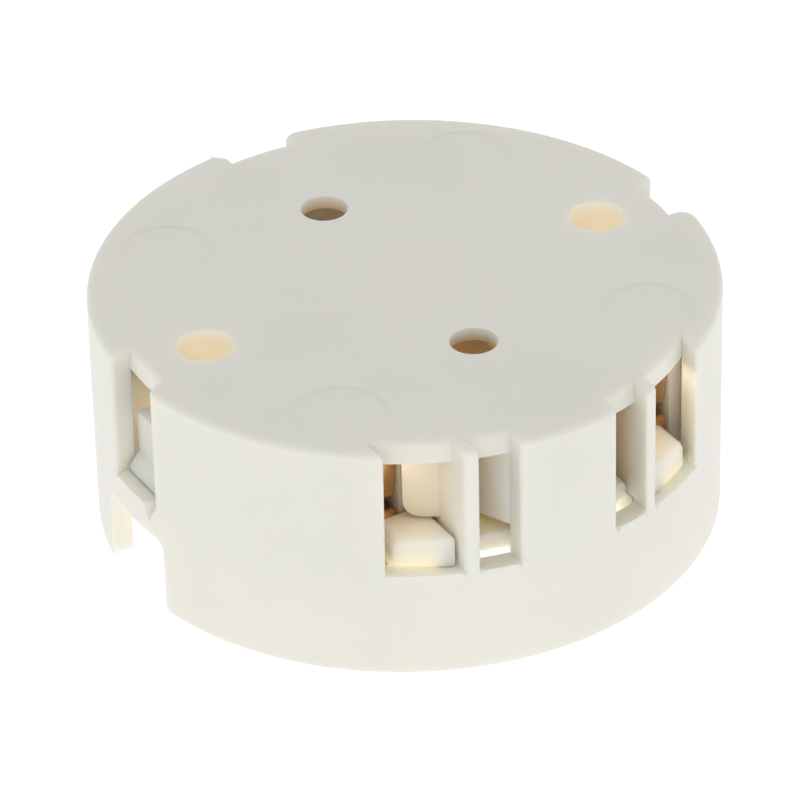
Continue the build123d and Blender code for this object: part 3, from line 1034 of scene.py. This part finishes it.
def thicken(strip, thickness):
    """Give a sheet its thickness, half to each side."""
    sheet = strip.modifiers.new("sheet", "SOLIDIFY")
    sheet.thickness = thickness
    sheet.offset = 0
    sheet.use_even_offset = True
    apply(strip, sheet)
    with editing(strip):
        face_outwards()


def finished(strip):
    """Clean a strip, take the sharpness off its edges and shade it."""
    weld(strip)
    edge = strip.modifiers.new("broken edge", "BEVEL")
    edge.width = METAL_EDGE
    edge.segments = 1
    edge.limit_method = "ANGLE"
    edge.angle_limit = SHARP
    edge.use_clamp_overlap = False
    apply(strip, edge)
    shade(strip)
    return strip


# %% [markdown]
# A contact starts as the shelf that a wire lies on. It folds down to the deck, runs back to its
# lamp pin and widens there into a pad with a hole. The pad is an edge of the strip extruded
# sideways. Two leaves stand on it and take the pin between them.

# %% Contacts
STRIP_BEND = 0.7 * MM
SHELF_LENGTH = 3.0 * MM
PAD_BORDER = 0.8 * MM
PIN_RELIEF = 0.1 * MM
GRIP_HALF = 1.6 * MM
GRIP_WAIST = 3.8 * MM
GRIP_MOUTH = 1.5 * MM
GRIP_GAP = 2.0 * MM
GRIP_FLARE = 0.6 * MM

pin_x = max(place.x for place in pin_places)
pin_y = max(place.y for place in pin_places)
pad = pin_hole_radius + PIN_RELIEF + PAD_BORDER
half_strip = Vector((TERMINAL_WIDTH / 2, 0, 0))


def contact(name, centre, pin_row):
    """A contact on the right side."""
    front, shelf, base = contact_front + STRIP / 2, ledge_top - STRIP / 2, deck_top + STRIP / 2
    route = [(contact_front + SHELF_LENGTH, shelf), (front, shelf), (front, base),
             (pin_row - pad, base), (pin_row + pad, base)]
    strip = folded_strip(name, [(centre, y, z) for y, z in route], half_strip, STRIP_BEND)
    strip_side = centre - half_strip.x
    with editing(strip):
        pick(strip, "EDGE", lambda e: near(middle(e).x, strip_side) and near(middle(e).y, pin_row))
        widening = (pin_x - pad - strip_side, 0, 0)
        bpy.ops.mesh.extrude_edges_move(TRANSFORM_OT_translate={"value": widening})
    thicken(strip, STRIP)
    hole_radius = pin_hole_radius + PIN_RELIEF
    cut(strip, rod("pin_relief", pin_x, pin_row, hole_radius + HAIR, 0, height, PIN_SIDES))
    for side in (-1, 1):
        foot, waist = side * (hole_radius + STRIP / 2), side * (GRIP_GAP + STRIP) / 2
        leaf_route = [(foot, base), (waist, deck_top + GRIP_WAIST),
                      (waist + side * GRIP_FLARE, deck_top + GRIP_WAIST + GRIP_MOUTH)]
        leaf_points = [(pin_x + x, pin_row, z) for x, z in leaf_route]
        leaf = folded_strip("leaf", leaf_points, Vector((0, GRIP_HALF, 0)), STRIP_BEND)
        thicken(leaf, STRIP)
        unite(strip, leaf)
    return finished(strip)


pieces = {"housing": housing, "contact_carrier": carrier}
pieces["contact_inner_right"] = contact("inner_contact_right", inner_terminal, -pin_y)
pieces["contact_outer_right"] = contact("outer_contact_right", outer_terminal, pin_y)

# %% [markdown]
# The clamps lean a tongue against the wire, so that it can be pushed in but not pulled out. The
# two springs in the well bow inward and hold the lamp by its post. All six are single strips,
# and the left half of every pair is a mirror image of the right one.

# %% Clamps and lamp springs
CLAMP_STRIP = 0.35 * MM
CLAMP_BEND = 1.0 * MM
CLAMP_HALF = 1.75 * MM
CLAMP_RAKE = 0.6 * MM
CLAMP_GAP = 1.2 * MM
LAMP_BEND = 0.8 * MM
LAMP_SPRING_HALF = 2.5 * MM
LAMP_SPRING_FOOT = 2.6 * MM
LAMP_SPRING_BOW = 1.3 * MM
LAMP_SPRING_RISE = 4.6 * MM

clamp_back, clamp_top = chamber_back - CLAMP_STRIP / 2, wall_top - CLAMP_STRIP / 2
clamp_nose = contact_front + TERMINAL_CLEARANCE
clamp_route = [(clamp_back, deck_top + STRIP), (clamp_back, clamp_top), (clamp_nose, clamp_top),
               (clamp_nose + CLAMP_RAKE, ledge_top + CLAMP_GAP)]
for name, centre in (("inner", inner_terminal), ("outer", outer_terminal)):
    clamp_points = [(centre, y, z) for y, z in clamp_route]
    clamp = folded_strip(f"{name}_clamp_right", clamp_points, Vector((CLAMP_HALF, 0, 0)), CLAMP_BEND)
    thicken(clamp, CLAMP_STRIP)
    pieces[f"clamp_{name}_right"] = finished(clamp)

well_side, roof = (WELL_X - STRIP) / 2, well_roof - STRIP / 2
spring_route = [
    (well_side - LAMP_SPRING_BOW / 2, socket_face + STRIP),
    (well_side - LAMP_SPRING_BOW, socket_face + LAMP_SPRING_RISE / 2),
    (well_side, socket_face + LAMP_SPRING_RISE),
    (well_side, roof),
    (well_side - LAMP_SPRING_FOOT, roof),
]
spring = folded_strip("lamp_spring_blade_right", [(x, 0, z) for x, z in spring_route],
                      Vector((0, LAMP_SPRING_HALF, 0)), LAMP_BEND)
thicken(spring, STRIP)
pieces["lamp_spring_right"] = finished(spring)

for right_name in [name for name in pieces if name.endswith("_right")]:
    twin = pieces[right_name]
    pieces[right_name.replace("_right", "_left")] = mirrored(twin, twin.name.replace("_right", "_left"))
print(len(pieces), "pieces:", ", ".join(sorted(pieces)))

# %% [markdown]
# ## Shared surface effects
#
# Five materials share three effects. Each could be built again in every material, but a node
# group with named inputs and outputs is built once, and each material gives it its own values.
# The skin of a moulding has slow clouds of tint and a fine grain. Rolled strip has fine streaks
# and a patchy tarnish. The third effect tells how deep a point lies inside the cup, for painted
# light: light gets in there mostly through the cream plastic, which turns it amber, and that amber
# light is painted into the colour. It counts for less at the screw posts, where light comes
# straight up from the table.
#
# All textures use object coordinates, so they stay with the piece wherever it is shown.

# %% Helpers for nodes
def effect(name, inputs, outputs):
    """A node group with named values in and out."""
    group = bpy.data.node_groups.new(name, "ShaderNodeTree")
    for direction, labels in (("INPUT", inputs), ("OUTPUT", outputs)):
        for label in labels:
            group.interface.new_socket(label, in_out=direction, socket_type="NodeSocketFloat")
    return group, group.nodes.new("NodeGroupInput").outputs, group.nodes.new("NodeGroupOutput").inputs


def node(tree, kind, **values):
    """A new node with some of its inputs set."""
    new = tree.nodes.new("ShaderNode" + kind)
    for label, value in values.items():
        new.inputs[label.replace("_", " ")].default_value = value
    return new


def noise(tree, scale, detail, stretch=(1, 1, 1)):
    """Noise in object coordinates, with a scale that comes from another node."""
    where = node(tree, "TexCoord")
    spread = node(tree, "Mapping", Scale=stretch)
    texture = node(tree, "TexNoise", Detail=detail)
    tree.links.new(where.outputs["Object"], spread.inputs["Vector"])
    tree.links.new(spread.outputs["Vector"], texture.inputs["Vector"])
    tree.links.new(scale, texture.inputs["Scale"])
    return texture.outputs["Fac"]


def ramp(tree, value, start, end, low=0.0, high=1.0):
    """Map a value from one range to another."""
    change = node(tree, "MapRange", From_Min=start, From_Max=end, To_Min=low, To_Max=high)
    tree.links.new(value, change.inputs["Value"])
    return change.outputs["Result"]


def vector_math(tree, operation, first, second=None):
    """One step of vector arithmetic, the second vector being fixed."""
    step = node(tree, "VectorMath")
    step.operation = operation
    tree.links.new(first, step.inputs[0])
    if second:
        step.inputs[1].default_value = second
    return step.outputs["Value" if operation == "LENGTH" else "Vector"]


def product(tree, *values):
    """Some values multiplied."""
    result = values[0]
    for value in values[1:]:
        step = node(tree, "Math")
        step.operation = "MULTIPLY"
        tree.links.new(result, step.inputs[0])
        tree.links.new(value, step.inputs[1])
        result = step.outputs["Value"]
    return result


# %% Skin of a moulding and rolled strip
ALONG_STRIP = (1, 0.08, 0.08)
TARNISH_FROM, TARNISH_TO = 0.35, 0.7

skin, skin_in, skin_out = effect("moulded_skin", ("Cloud Scale", "Grain Scale"), ("Cloud", "Grain"))
skin.links.new(noise(skin, skin_in["Cloud Scale"], detail=2), skin_out["Cloud"])
skin.links.new(noise(skin, skin_in["Grain Scale"], detail=3), skin_out["Grain"])

rolled, rolled_in, rolled_out = effect("rolled_strip", ("Streak Scale", "Tarnish Scale"),
                                       ("Streaks", "Tarnish"))
streaks = noise(rolled, rolled_in["Streak Scale"], detail=4, stretch=ALONG_STRIP)
patches = noise(rolled, rolled_in["Tarnish Scale"], detail=3)
rolled.links.new(streaks, rolled_out["Streaks"])
rolled.links.new(ramp(rolled, patches, TARNISH_FROM, TARNISH_TO), rolled_out["Tarnish"])
print("effects:", skin.name, "and", rolled.name)

# %% Depth inside the cup, which places the painted amber light
WALL_SKIN = 0.1 * MM
AMBER_REACH = 4.0 * MM
BACK_SKIN = 0.4 * MM
PLATE_SKIN = 0.2 * MM
POST_SKIN = 0.3 * MM
POST_GLOW = 1.5 * MM
POST_DEPTH = 0.3

# A mask for painted light: amber where light reaches the inside only through the plastic.
depth, depth_in, depth_out = effect("depth_in_cup", ("Strength",), ("Depth",))
position = node(depth, "TexCoord").outputs["Object"]
level = vector_math(depth, "MULTIPLY", position, (1, 1, 0))
from_axis = vector_math(depth, "LENGTH", level)
to_post = vector_math(depth, "SUBTRACT", vector_math(depth, "ABSOLUTE", level), (post_x, 0, 0))
from_post = vector_math(depth, "LENGTH", to_post)
heights = node(depth, "SeparateXYZ")
depth.links.new(position, heights.inputs["Vector"])
inward = ramp(depth, from_axis, inner_radius + WALL_SKIN, inner_radius - AMBER_REACH)
below = ramp(depth, heights.outputs["Z"], height - BACK_SKIN, plate_underside + PLATE_SKIN)
off_post = ramp(depth, from_post, POST_RADIUS + POST_SKIN, POST_RADIUS + POST_GLOW, POST_DEPTH)
depth.links.new(product(depth, inward, below, off_post, depth_in["Strength"]), depth_out["Depth"])
print("effect:", depth.name)

# %% [markdown]
# ## Plastic
#
# Both mouldings are satin cream plastic. A plain glossy cream would look like painted metal,
# because the real one is a little translucent. So the shader scatters light below the surface,
# red further than blue, and that of the carrier is the clearer one. Clouds shift the cream by a
# hair, the grain roughens the gloss and feeds a faint bump, and the depth effect blends in
# painted amber light: the colour that light takes when it comes into the cup through the plastic.

# %% Plastic materials
CLOUD_SIZE = 14 * MM
GRAIN_SIZE = 0.35 * MM
GRAIN_RELIEF = 0.02 * MM
GRAIN_STRENGTH = 0.15
NOISE_RANGE = (0.3, 0.7)
SATIN = (0.38, 0.5)
PLASTIC_IOR = 1.5


def blend(tree, factor, first, second):
    """Mix two colours, each a fixed colour or the output of a node."""
    mix = node(tree, "Mix")
    mix.data_type = "RGBA"
    tree.links.new(factor, mix.inputs["Factor"])
    for socket, colour in ((mix.inputs[6], first), (mix.inputs[7], second)):
        if isinstance(colour, tuple):
            socket.default_value = (*colour, 1)
        else:
            tree.links.new(colour, socket)
    return mix.outputs[2]


def new_material(name, *effects):
    """A material with its tree, its shader and a node for each shared effect, with its values."""
    material = bpy.data.materials.new(name)
    material.use_nodes = True
    tree = material.node_tree
    used = []
    for group, values in effects:
        used.append(tree.nodes.new("ShaderNodeGroup"))
        used[-1].node_tree = group
        for label, value in values.items():
            used[-1].inputs[label].default_value = value
    return material, tree, tree.nodes["Principled BSDF"], *used


def bump(tree, shader, value, distance, strength):
    """Let a value stand out from the surface."""
    relief = node(tree, "Bump", Distance=distance, Strength=strength)
    tree.links.new(value, relief.inputs["Height"])
    tree.links.new(relief.outputs["Normal"], shader.inputs["Normal"])


def plastic(name, pale, deep, amber, painted_amber_share, clear, scatter, tint):
    """A cream plastic that clouds from pale to deep, with amber light painted into its colour inside the
    cup.
    """
    grains = {"Cloud Scale": 1 / CLOUD_SIZE, "Grain Scale": 1 / GRAIN_SIZE}
    amount = {"Strength": painted_amber_share}
    material, tree, shader, surface, inside = new_material(name, (skin, grains), (depth, amount))
    cream = blend(tree, ramp(tree, surface.outputs["Cloud"], *NOISE_RANGE), pale, deep)
    # Painted light: the amber stands in for light that has come through the plastic into the cup.
    tree.links.new(blend(tree, inside.outputs["Depth"], cream, amber), shader.inputs["Base Color"])
    gloss = ramp(tree, surface.outputs["Grain"], *NOISE_RANGE, *SATIN)
    tree.links.new(gloss, shader.inputs["Roughness"])
    bump(tree, shader, surface.outputs["Grain"], GRAIN_RELIEF, GRAIN_STRENGTH)
    shader.inputs["IOR"].default_value = PLASTIC_IOR
    shader.inputs["Subsurface Weight"].default_value = clear
    shader.inputs["Subsurface Radius"].default_value = tint
    shader.inputs["Subsurface Scale"].default_value = scatter
    return material


# Each plastic gets its own painted amber light, and its own share of it.
cream = plastic("cream_plastic", pale=(0.838, 0.832, 0.765), deep=(0.818, 0.812, 0.745),
                amber=(0.88, 0.68, 0.42), painted_amber_share=0.85,
                clear=0.55, scatter=1.6 * MM, tint=(1.0, 0.75, 0.5))
ivory = plastic("ivory_plastic", pale=(0.86, 0.83, 0.73), deep=(0.84, 0.81, 0.7),
                amber=(0.9, 0.74, 0.52), painted_amber_share=0.7,
                clear=0.85, scatter=3.5 * MM, tint=(1.0, 0.9, 0.72))
materials = {"housing_plastic": cream, "carrier_plastic": ivory}
print("plastics:", cream.name, "and", ivory.name)

# %% [markdown]
# ## Metal
#
# Contacts and clamps are bronze, and the lamp springs are steel. One even colour would look
# like paint. Rolling leaves fine streaks in the strip, which break up its highlights, so they
# vary the roughness and feed a bump. The tarnish darkens the metal in patches.

# %% Metal materials
STREAK_SIZE = 0.3 * MM
TARNISH_SIZE = 3 * MM
STREAK_RELIEF = 0.01 * MM
STREAK_STRENGTH = 0.2


def metal(name, bright, dull, smooth, rough):
    """A rolled metal that tarnishes from bright to dull."""
    sizes = {"Streak Scale": 1 / STREAK_SIZE, "Tarnish Scale": 1 / TARNISH_SIZE}
    material, tree, shader, surface = new_material(name, (rolled, sizes))
    tree.links.new(blend(tree, surface.outputs["Tarnish"], bright, dull), shader.inputs["Base Color"])
    gloss = ramp(tree, surface.outputs["Streaks"], *NOISE_RANGE, smooth, rough)
    tree.links.new(gloss, shader.inputs["Roughness"])
    bump(tree, shader, surface.outputs["Streaks"], STREAK_RELIEF, STREAK_STRENGTH)
    shader.inputs["Metallic"].default_value = 1
    return material


materials["contact_bronze"] = metal("contact_strip", bright=(0.72, 0.42, 0.2),
                                    dull=(0.5, 0.26, 0.11), smooth=0.28, rough=0.45)
materials["clamp_bronze"] = metal("clamp_strip", bright=(0.76, 0.5, 0.27),
                                  dull=(0.6, 0.36, 0.17), smooth=0.25, rough=0.4)
materials["spring_steel"] = metal("spring_strip", bright=(0.62, 0.62, 0.61),
                                  dull=(0.5, 0.49, 0.47), smooth=0.22, rough=0.38)
print("materials:", ", ".join(material.name for material in materials.values()))

# %% [markdown]
# ## Dressing the frame
#
# Each piece rides on the root of the frame, stands in for its plain node and takes the
# material of its slot.

# %% Dress
SLOTS = {
    "housing": "housing_plastic",
    "contact_carrier": "carrier_plastic",
    "contact": "contact_bronze",
    "clamp": "clamp_bronze",
    "lamp": "spring_steel",
}
for name, piece in pieces.items():
    kind = name.split("_")[0]
    slot = SLOTS.get(name, SLOTS[kind])
    piece.data.materials.clear()
    piece.data.materials.append(materials[slot])
    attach(piece, "root")
    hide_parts(name)
print(len(pieces), "pieces dressed")
